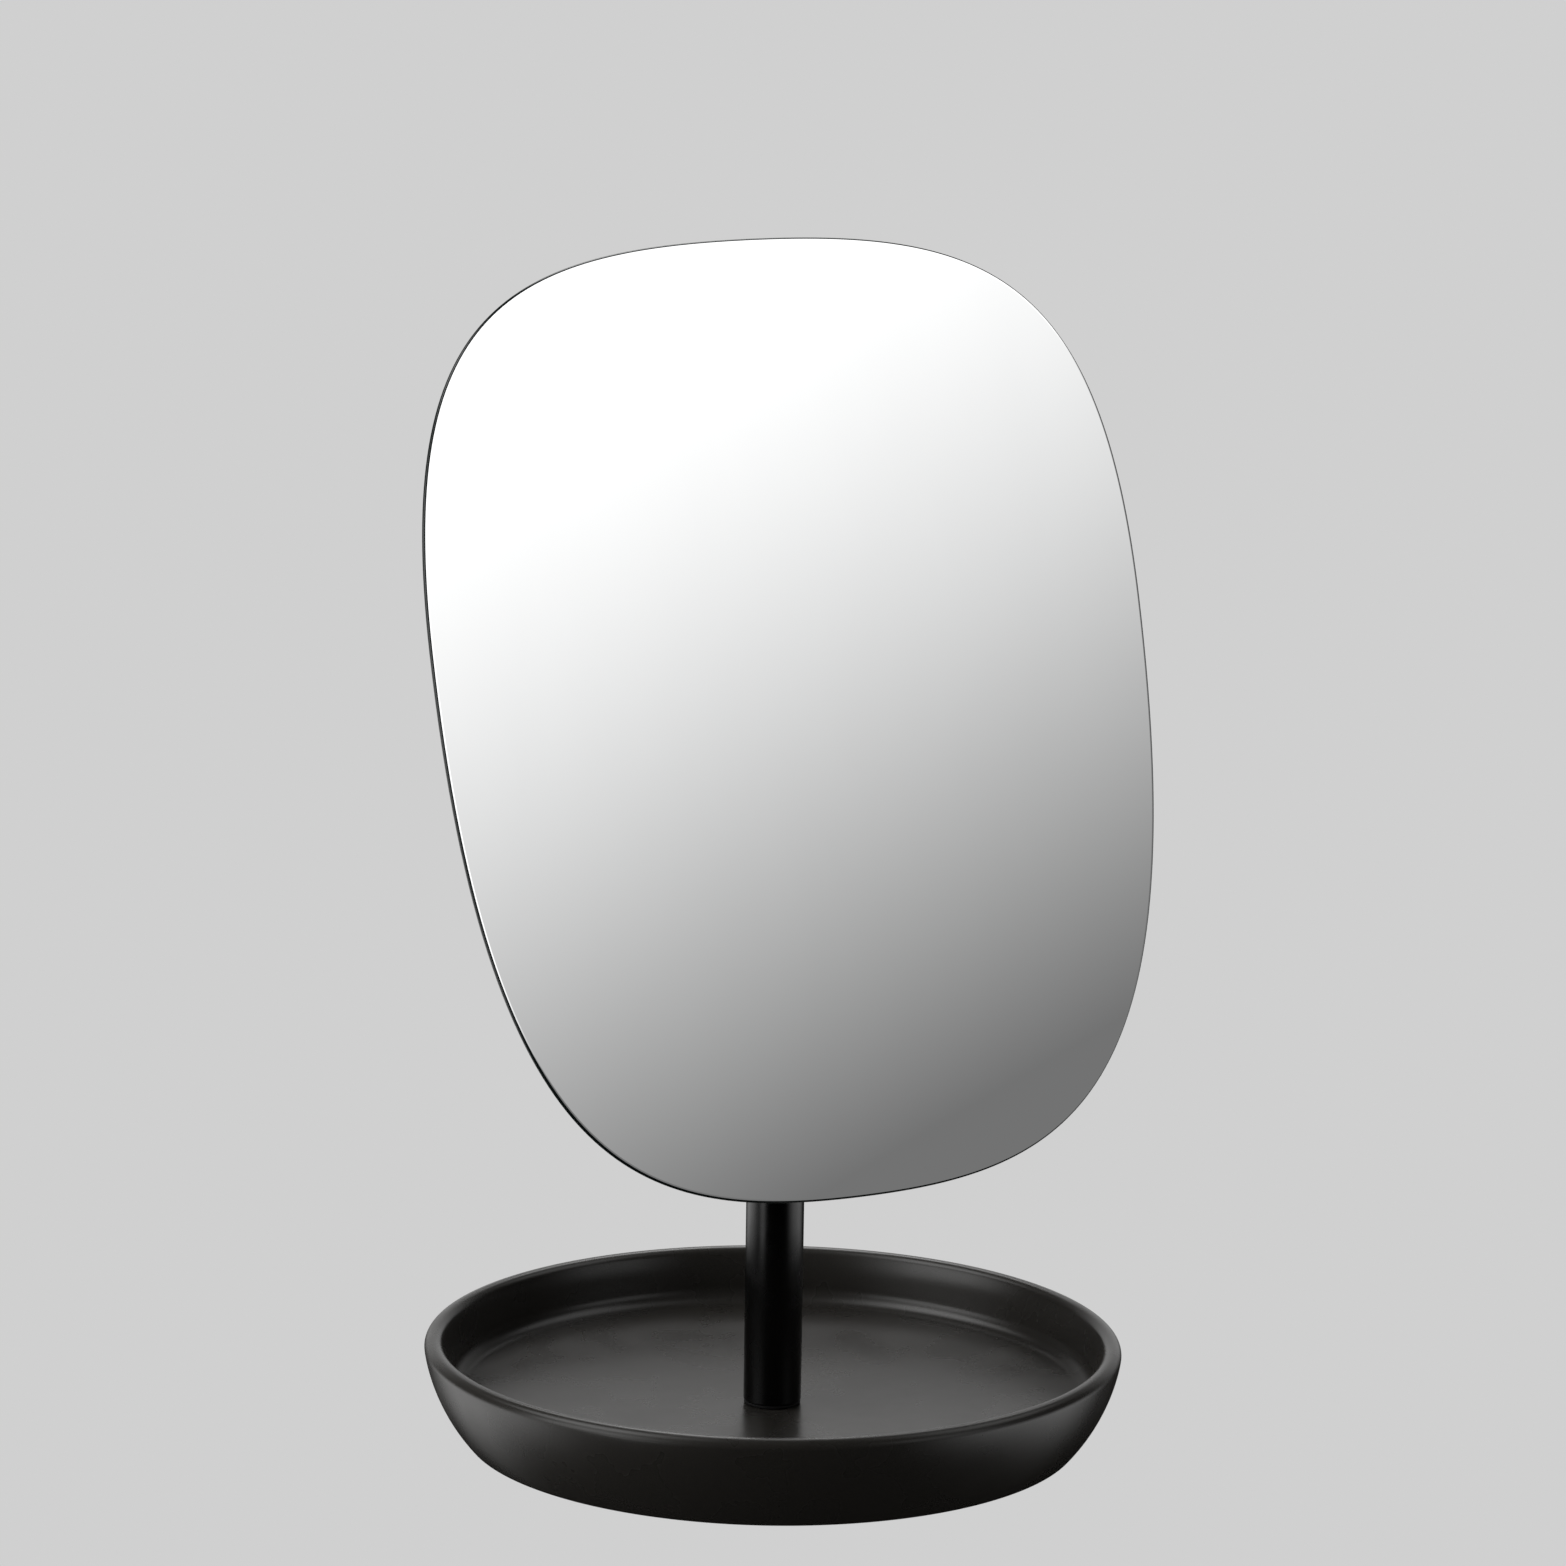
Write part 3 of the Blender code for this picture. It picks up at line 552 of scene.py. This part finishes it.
def dish():
    low, high = (Vector(corner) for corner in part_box("dish"))
    floor_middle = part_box("stem_gasket")[0][2] - GAP
    radius = high.x
    bottom = low.z
    rim_middle = radius - RIM_ROUND
    rim_centre = high.z - RIM_ROUND
    pad_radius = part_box("base_pad")[1][0] + GAP
    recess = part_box("base_pad")[1][2] + GAP
    foot = (FOOT_RADIUS + FOOT_EASE / 2, bottom + FOOT_EASE / 2)
    outer_wall = cubic(
        (radius, rim_centre),
        (radius, rim_centre - WALL_HANDLE),
        (FOOT_RADIUS + FOOT_FLARE_OUT, bottom + FOOT_FLARE_UP),
        foot,
        40,
    )
    under = eased(
        [
            foot,
            (FOOT_RADIUS - FOOT_EASE, bottom),
            (pad_radius, bottom),
            (pad_radius, recess),
            (POCKET_RADIUS, recess),
            (POCKET_RADIUS, floor_middle - POCKET_ROOF),
            (HOLE_RADIUS, floor_middle - POCKET_ROOF),
            (HOLE_RADIUS, floor_middle),
        ],
        UNDER_EASE,
        closed=False,
    )
    fillet_middle = radius - 2 * RIM_ROUND - WALL_DRAFT - FILLET
    edge_slope = math.atan(2 * FLOOR_RISE / fillet_middle)
    fillet_centre = floor_middle + FLOOR_RISE + FILLET * math.cos(edge_slope)
    floor_edge = fillet_middle + FILLET * math.sin(edge_slope)
    shares = [i / FLOOR_RINGS for i in range(2, FLOOR_RINGS)]
    floor_rings = [(floor_edge * t, floor_middle + FLOOR_RISE * t**2) for t in shares]
    lip = (
        rim_middle - RIM_ROUND * math.cos(WALL_LEAN),
        rim_centre + RIM_ROUND * math.sin(WALL_LEAN),
    )
    handle = (lip[1] - fillet_centre) / 3
    inner_wall = cubic(
        (fillet_middle + FILLET, fillet_centre),
        (fillet_middle + FILLET, fillet_centre + handle),
        (lip[0] - handle * math.tan(WALL_LEAN), lip[1] - handle),
        lip,
        24,
    )
    profile = [
        *arc(rim_middle, rim_centre, RIM_ROUND, 90, 5, 14),
        *outer_wall,
        *under[1:],
        *floor_rings,
        *arc(fillet_middle, fillet_centre, FILLET, -90 + math.degrees(edge_slope), 0, 28),
        *inner_wall[1:-1],
        *arc(rim_middle, rim_centre, RIM_ROUND, 180 - math.degrees(WALL_LEAN), 96, 14),
    ]
    stands_for(stacked("dish_body", profile, CERAMIC, closed=True, steps=288), "dish")


def pad():
    low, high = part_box("base_pad")
    radius = high[0]
    edge = [
        (radius / 2, high[2]),
        (radius, high[2]),
        (radius, low[2]),
        (radius / 2, low[2]),
    ]
    profile = [(0, high[2]), *eased(edge, UNDER_EASE, closed=False), (0, low[2])]
    stands_for(stacked("rubber_pad", profile, RUBBER, steps=192), "base_pad")


# Stem and what shows of its joint with the dish


def stem():
    low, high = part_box("stem_tube")
    radius = high[0]
    tube = ring_piece(
        "stem", radius - STEM_WALL, radius, low[2], high[2], PAINTED_SHADE_COAT, STEM_EDGE, steps=160
    )
    screw_low, screw_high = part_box("plug_set_screw")
    drill_radius = (screw_high[0] - screw_low[0]) / 2 + GAP
    height = (screw_high[2] + screw_low[2]) / 2
    drill = stacked(
        "set_screw_hole",
        [
            (0, DRILL_HALF),
            (drill_radius, DRILL_HALF),
            (drill_radius, -DRILL_HALF),
            (0, -DRILL_HALF),
        ],
        PAINTED_SHADE_COAT,
        steps=48,
    )
    drill.matrix_world = Matrix.Translation((0, radius, height)) @ Matrix.Rotation(
        math.pi / 2, 4, "X"
    )
    cut = tube.modifiers.new("hole", "BOOLEAN")
    cut.operation = "DIFFERENCE"
    cut.solver = "EXACT"
    cut.object = drill
    bpy.context.view_layer.update()
    graph = bpy.context.evaluated_depsgraph_get()
    mesh = bpy.data.meshes.new_from_object(tube.evaluated_get(graph))
    tube.modifiers.clear()
    tube.data = mesh
    mesh.set_sharp_from_angle(angle=math.radians(35))
    bpy.data.objects.remove(drill)
    stands_for(tube, "stem_tube")


def stem_rings():
    low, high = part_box("stem_gasket")
    gasket = ring_piece(
        "foot_gasket", HOLE_RADIUS, high[0], low[2], high[2], RUBBER, GASKET_EDGE
    )
    stands_for(gasket, "stem_gasket")
    low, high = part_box("swivel_glide")
    glide = ring_piece(
        "glide_ring", M6 + BOLT_PLAY, high[0], low[2], high[2], NYLON, GLIDE_EDGE
    )
    stands_for(glide, "swivel_glide")


def set_screw():
    low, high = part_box("plug_set_screw")
    radius = (high[0] - low[0]) / 2
    length = high[1] - low[1]
    socket = hexagonal(SET_SCREW_SOCKET)
    profile = [
        (0, length),
        (radius * 0.6, length),
        (radius, length - SET_SCREW_POINT),
        (radius, SET_SCREW_CHAMFER),
        (radius - SET_SCREW_CHAMFER, 0),
        (SET_SCREW_MOUTH, 0),
        (socket, SET_SCREW_SINK),
        (socket, length / 2),
        (0, length / 2 + SET_SCREW_CONE),
    ]
    screw = stacked("stem_set_screw", profile, DARK_STEEL, steps=72)
    place = Matrix.Translation((0, high[1], (low[2] + high[2]) / 2)) @ Matrix.Rotation(
        math.pi / 2, 4, "X"
    )
    stands_for(screw, "plug_set_screw", place)


# Swivel head: a round barrel with a tongue for the tilt axle


def swivel_head():
    low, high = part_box("swivel_head")
    radius = high[0]
    bore = M6 + BOLT_PLAY
    barrel_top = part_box("swivel_head")[0][2] + BARREL_HEIGHT
    bore_top = low[2] + BARREL_BORE
    outside = eased(
        [(0, barrel_top), (radius, barrel_top), (radius, low[2]), (bore, low[2])],
        BARREL_EDGE,
        steps=6,
        closed=False,
    )
    profile = [*outside, (bore, bore_top), (0, bore_top)]
    barrel = stacked("head_barrel", profile, HEAD_COAT, steps=128)
    foot = barrel_top - TONGUE_ROOT - TILT_AXIS.z
    outline = [(-KNUCKLE, foot), (KNUCKLE, foot), *arc(0, 0, KNUCKLE, 0, 180, 48)]
    hole = circle(0, 0, M5 + BOLT_PLAY)
    tongue = slab(
        "head_tongue", outline, [hole], -TONGUE_HALF, TONGUE_HALF, HEAD_COAT, TONGUE_EDGE
    )
    tongue.matrix_world = Matrix.Translation(TILT_AXIS) @ FACING_U
    stands_for(joined("head", [barrel, tongue]), "swivel_head")


# Tilt hinge


def thread(name, radius, start, end, pitch, finish, tip=0.0, steps=48):
    """A threaded bar between two heights, with a chamfered tip at its start."""
    depth = pitch * 0.5
    rows_per_pitch = 8
    count = int((end - start) / pitch * rows_per_pitch)
    rings = [(0, start)]
    for k in range(count + 1):
        z = start + (end - start) * k / count

        def groove(a, z=z):
            turn = (z / pitch - a / (2 * math.pi)) % 1
            cut = depth * (1 - abs(2 * turn - 1))
            fade = min(1, (z - start) / pitch, (end - z) / pitch)
            chamfer = max(0, tip - (z - start))
            return radius - max(0, cut * fade) - chamfer

        rings.append((groove, z))
    rings.append((0, end))
    rings.reverse()
    return stacked(name, rings, finish, steps=steps, angle=50)


def nut(name, across_flats, thickness, bore, finish):
    """A hexagon nut: both faces chamfered, and the bore countersunk."""
    flats = hexagonal(across_flats)
    land = across_flats / 2 * NUT_LAND
    slope = math.tan(NUT_CHAMFER)
    half = thickness / 2

    def upper(a):
        return half - max(0, flats(a) - land) * slope

    def lower(a):
        return -upper(a)

    rings = [
        (bore, half - NUT_SINK),
        (bore + NUT_SINK, half),
        (land, half),
        (flats, upper),
        (flats, lower),
        (land, -half),
        (bore + NUT_SINK, -half),
        (bore, NUT_SINK - half),
    ]
    return stacked(name, rings, finish, closed=True, steps=144, angle=25)


def friction_discs():
    low, high = box_in("friction_washer_right", MIRROR)
    half = (high.x - low.x) / 2
    middle = (high.x + low.x) / 2
    bore = M5 + BOLT_PLAY
    for side, node, name in (
        (-1, "friction_washer_left", "left_friction_disc"),
        (1, "friction_washer_right", "right_friction_disc"),
    ):
        disc = ring_piece(name, bore, high.y, -half, half, NYLON, DISC_EDGE)
        stands_for(disc, node, MIRROR @ Matrix.Translation((side * middle, 0, 0)) @ ALONG_U)


def tilt_spring():
    low, high = box_in("tilt_spring", MIRROR)
    bore = M5 + BOLT_PLAY
    cone = high.x - low.x - SPRING_SHEET
    corners = [(bore, cone + SPRING_SHEET), (high.y, SPRING_SHEET), (high.y, 0), (bore, cone)]
    profile = eased(corners, SPRING_EDGE, steps=3)
    spring = stacked("tilt_disc_spring", profile, DARK_STEEL, closed=True)
    stands_for(spring, "tilt_spring", MIRROR @ Matrix.Translation((low.x, 0, 0)) @ ALONG_U)


def tilt_nut():
    low, high = box_in("tilt_nut", MIRROR)
    piece = nut("tilt_lock_nut", M5_FLATS, high.x - low.x, M5, DARK_STEEL)
    middle = (low.x + high.x) / 2
    stands_for(piece, "tilt_nut", MIRROR @ Matrix.Translation((middle, 0, 0)) @ ALONG_U)


def tilt_bolt():
    low, high = box_in("tilt_axle", MIRROR)
    radius = high.y
    top = low.x
    foot = top + BOLT_HEAD
    end = high.x
    shank = M5 - SHANK_PLAY
    socket = hexagonal(BOLT_SOCKET)
    dome = cubic(
        (BOLT_CROWN, top),
        (radius * 0.75, top),
        (radius, top + BOLT_HEAD * 0.35),
        (radius, foot - 0.3 * MM),
        14,
    )
    profile = [
        (0, top + BOLT_HEAD * 0.62),
        (socket, top + BOLT_HEAD * 0.55),
        (socket, top + BOLT_EASE),
        *dome,
        (radius - BOLT_EASE, foot),
        (shank, foot),
        (shank, end - SHANK_STOP),
        (0, end - SHANK_STOP),
    ]
    profile.reverse()
    head = stacked("axle_head", profile, DARK_STEEL, steps=96)
    threaded = thread(
        "axle_thread", M5, -end, BOLT_THREAD - end, M5_PITCH, DARK_STEEL, M5_TIP
    )
    threaded.matrix_world = Matrix.Rotation(math.pi, 4, "X")
    stands_for(joined("tilt_bolt", [head, threaded]), "tilt_axle", MIRROR @ ALONG_U)


def bracket():
    low, high = box_in("hinge_bracket", MIRROR)
    front = high.z
    back = front - BRACKET_SHEET
    outline = eased(
        [
            (low.x, low.y),
            (-NOTCH_HALF, low.y),
            (-NOTCH_HALF, -NOTCH_TOP),
            (NOTCH_HALF, -NOTCH_TOP),
            (NOTCH_HALF, low.y),
            (high.x, low.y),
            (high.x, high.y),
            (low.x, high.y),
        ],
        BRACKET_CORNER,
        steps=8,
    )
    holes = [circle(u, v, M4 + BOLT_PLAY) for u, v in stud_places()]
    plate = slab("bracket_plate", outline, holes, back, front, HEAD_COAT, SHEET_EDGE)
    inner = box_in("friction_washer_right", MIRROR)[1].x + GAP
    ear_outline = [
        (EAR_HALF, front - EAR_ROOT),
        (-EAR_HALF, front - EAR_ROOT),
        (-EAR_HALF, back - EAR_STRAIGHT),
        *arc(0, 0, KNUCKLE, 180, 360, 48),
        (EAR_HALF, back - EAR_STRAIGHT),
    ]
    hole = circle(0, 0, M5 + BOLT_PLAY)
    ears = []
    for side in (-1, 1):
        start = inner if side > 0 else -inner - EAR
        ear = slab(
            f"ear_{side}", ear_outline, [hole], start, start + EAR, HEAD_COAT, EAR_EDGE
        )
        ear.matrix_world = FACING_U
        ears.append(ear)
    stands_for(joined("tilt_bracket", [plate, *ears]), "hinge_bracket", MIRROR)


def stud_places():
    places = []
    for number in range(1, 5):
        low, high = box_in(f"weld_stud_{number}", MIRROR)
        places.append(((low.x + high.x) / 2, (low.y + high.y) / 2))
    return places


def studs_and_nuts():
    for number, (u, v) in enumerate(stud_places(), 1):
        low, high = box_in(f"weld_stud_{number}", MIRROR)
        stud = thread(f"stud_{number}", M4, low.z, high.z, M4_PITCH, DARK_STEEL, M4_TIP)
        stands_for(stud, f"weld_stud_{number}", MIRROR @ Matrix.Translation((u, v, 0)))
        low, high = box_in(f"bracket_nut_{number}", MIRROR)
        piece = nut(f"nut_{number}", M4_FLATS, high.z - low.z, M4, DARK_STEEL)
        turn = Matrix.Rotation(NUT_TURN * number, 4, "Z")
        middle = Matrix.Translation((u, v, (low.z + high.z) / 2))
        stands_for(piece, f"bracket_nut_{number}", MIRROR @ middle @ turn)


# Mirror plates


def outline_points(half_width, half_height, steps=64):
    """The mirror's outline as (point, outward direction) pairs."""
    top = (0, half_height)
    side = (half_width, WIDEST)
    foot = (0, -half_height)
    upper = cubic(
        top, (HANDLE_TOP, half_height), (half_width, WIDEST + HANDLE_UP), side, steps
    )
    lower = cubic(
        side, (half_width, WIDEST - HANDLE_DOWN), (HANDLE_BOTTOM, -half_height), foot, steps
    )
    right = upper[:-1] + lower[:-1]
    left = [(-x, y) for x, y in reversed(right[1:])]
    points = [Vector(p) for p in [*right, foot, *left]]
    count = len(points)
    made = []
    for i, point in enumerate(points):
        along = points[(i + 1) % count] - points[i - 1]
        made.append((point, Vector((-along.y, along.x)).normalized()))
    return made


def mirror_sheet(name, half_width, half_height, section, finishes):
    """A plate with the mirror's outline.

    Its section is (inset, height, number of the finish), from back to front.
    """
    outline = outline_points(half_width, half_height)
    count = len(outline)
    verts = []
    for inset, height, finish in section:
        for point, outward in outline:
            moved = point - outward * inset
            verts.append((moved.x, moved.y, height))
    faces = []
    kinds = []
    for k in range(len(section) - 1):
        for i in range(count):
            j = (i + 1) % count
            faces.append((k * count + i, (k + 1) * count + i, (k + 1) * count + j, k * count + j))
            kinds.append(section[k][2])
    last = (len(section) - 1) * count
    faces.append(tuple(range(count)))
    kinds.append(section[0][2])
    faces.append(tuple(last + i for i in reversed(range(count))))
    kinds.append(section[-1][2])
    mesh = bpy.data.meshes.new(name)
    mesh.from_pydata(verts, [], faces)
    obj = finish_mesh(name, mesh, finishes[0], flat_ends=True)
    for finish in finishes[1:]:
        mesh.materials.append(finish)
    for face, kind in zip(mesh.polygons, kinds):
        face.material_index = kind
    return obj


def plates():
    low, high = box_in("back_plate", MIRROR)
    edge = SHEET_EDGE
    section = []
    for degrees in range(0, 91, 18):
        a = math.radians(degrees)
        inset = edge - edge * math.sin(a)
        section.append((inset, low.z + edge - edge * math.cos(a), 0))
    for degrees in range(0, 91, 18):
        a = math.radians(degrees)
        inset = edge - edge * math.cos(a)
        section.append((inset, high.z - edge + edge * math.sin(a), 0))
    plate = mirror_sheet("mirror_back", high.x, high.y, section, [HEAD_COAT])
    stands_for(plate, "back_plate", MIRROR)

    low, high = box_in("mirror_glass", MIRROR)
    finishes = [SILVER, EDGE, BACKING]
    round_edge = (high.z - low.z) / 2
    section = []
    for degrees in range(0, 181, 12):
        a = math.radians(degrees)
        inset = round_edge - round_edge * math.sin(a)
        height = low.z + round_edge - round_edge * math.cos(a)
        finish = EDGE
        if degrees == 0:
            finish = BACKING
        if math.radians(180 - degrees) <= GLASS_SILVER:
            finish = SILVER
        section.append((inset, height, finishes.index(finish)))
    glass = mirror_sheet("mirror", high.x, high.y, section, finishes)
    stands_for(glass, "mirror_glass", MIRROR)


dish()
pad()
stem()
stem_rings()
set_screw()
swivel_head()
friction_discs()
tilt_spring()
tilt_nut()
tilt_bolt()
bracket()
studs_and_nuts()
plates()


# Floor, light and camera


def floor():
    """A wide, plain, pale floor."""
    angles = [math.radians(i) for i in range(0, 360, 5)]
    verts = [
        (FLOOR_RADIUS * math.cos(angle), FLOOR_RADIUS * math.sin(angle), -FLOOR_GAP)
        for angle in angles
    ]
    mesh = bpy.data.meshes.new("floor")
    mesh.from_pydata(verts, [], [tuple(range(len(verts)))])
    obj = bpy.data.objects.new("floor", mesh)
    bpy.context.scene.collection.objects.link(obj)
    made = bpy.data.materials.new("pale_floor")
    made.use_nodes = True
    tree = made.node_tree
    tree.nodes.clear()
    glow = tree.nodes.new("ShaderNodeEmission")
    glow.inputs["Color"].default_value = (BACKDROP, BACKDROP, BACKDROP, 1)
    out = tree.nodes.new("ShaderNodeOutputMaterial")
    tree.links.new(glow.outputs[0], out.inputs["Surface"])
    mesh.materials.append(made)
    obj.visible_glossy = False
    obj.visible_diffuse = False
    obj.visible_shadow = False


def light():
    world = bpy.data.worlds.new("studio")
    bpy.context.scene.world = world
    world.use_nodes = True
    tree = world.node_tree
    tree.nodes.clear()
    link = tree.links.new

    def value(socket, source):
        if isinstance(source, (int, float)):
            socket.default_value = source
        else:
            link(source, socket)

    def maths(operation, a, b=0.0, c=0.0):
        node = tree.nodes.new("ShaderNodeMath")
        node.operation = operation
        value(node.inputs[0], a)
        value(node.inputs[1], b)
        value(node.inputs[2], c)
        return node.outputs[0]

    def smooth(source, start, end, low=0.0, high=1.0):
        node = tree.nodes.new("ShaderNodeMapRange")
        node.interpolation_type = "SMOOTHSTEP"
        value(node.inputs["Value"], source)
        node.inputs["From Min"].default_value = start
        node.inputs["From Max"].default_value = end
        node.inputs["To Min"].default_value = low
        node.inputs["To Max"].default_value = high
        return node.outputs["Result"]

    def blend(factor, a, b):
        node = tree.nodes.new("ShaderNodeMix")
        value(node.inputs["Factor"], factor)
        value(node.inputs["A"], a)
        value(node.inputs["B"], b)
        return node.outputs["Result"]

    direction = tree.nodes.new("ShaderNodeTexCoord").outputs["Generated"]

    def along(axis):
        node = tree.nodes.new("ShaderNodeVectorMath")
        node.operation = "DOT_PRODUCT"
        link(direction, node.inputs[0])
        node.inputs[1].default_value = axis
        return node.outputs["Value"]

    def soft_box(azimuth, half_width, height, half_height):
        """1 inside a patch of the sky, and 0 outside its soft edge."""
        aside = maths("SUBTRACT", turn, math.radians(azimuth))
        aside = maths("ABSOLUTE", maths("WRAP", aside, math.pi, -math.pi))
        above = maths("ABSOLUTE", maths("SUBTRACT", up, height))
        width = math.radians(half_width)
        across = smooth(aside, width * SOFTBOX_CORE, width, 1, 0)
        upright = smooth(above, half_height * SOFTBOX_CORE, half_height, 1, 0)
        return maths("MULTIPLY", across, upright)

    a = CAMERA_AZIMUTH
    nearer = along((-math.sin(a), -math.cos(a), 0))
    rightward = along((math.cos(a), -math.sin(a), 0))
    turn = maths("ARCTAN2", rightward, nearer)
    up = along((0, 0, 1))
    boxes = 0.0
    for *place, brightness in SOFTBOXES:
        boxes = maths("ADD", maths("MULTIPLY", soft_box(*place), brightness), boxes)
    fade = smooth(along(FADE_AXIS), FADE_START, FADE_END, 0, FADE_MOST)
    reflected = maths("MAXIMUM", fade, FADE_LEAST)
    ray = tree.nodes.new("ShaderNodeLightPath")
    lit = blend(ray.outputs["Is Singular Ray"], boxes, reflected)
    strength = blend(ray.outputs["Is Camera Ray"], lit, BACKDROP)
    background = tree.nodes.new("ShaderNodeBackground")
    background.inputs["Color"].default_value = (1, 1, 1, 1)
    link(strength, background.inputs["Strength"])
    out = tree.nodes.new("ShaderNodeOutputWorld")
    link(background.outputs[0], out.inputs["Surface"])


def camera():
    data = bpy.data.cameras.new("camera")
    data.lens = CAMERA_LENS
    data.sensor_width = CAMERA_SENSOR
    data.clip_end = 5 * FLOOR_RADIUS
    obj = bpy.data.objects.new("camera", data)
    bpy.context.scene.collection.objects.link(obj)
    turned = Matrix.Rotation(-CAMERA_AZIMUTH, 4, "Z")
    pitched = Matrix.Rotation(math.pi / 2 - CAMERA_PITCH, 4, "X")
    rolled = Matrix.Rotation(CAMERA_ROLL, 4, "Z")
    obj.matrix_world = Matrix.Translation(CAMERA_PLACE) @ turned @ pitched @ rolled
    bpy.context.scene.camera = obj


floor()
light()
camera()
bpy.context.scene.view_settings.view_transform = "Standard"

bpy.context.view_layer.update()
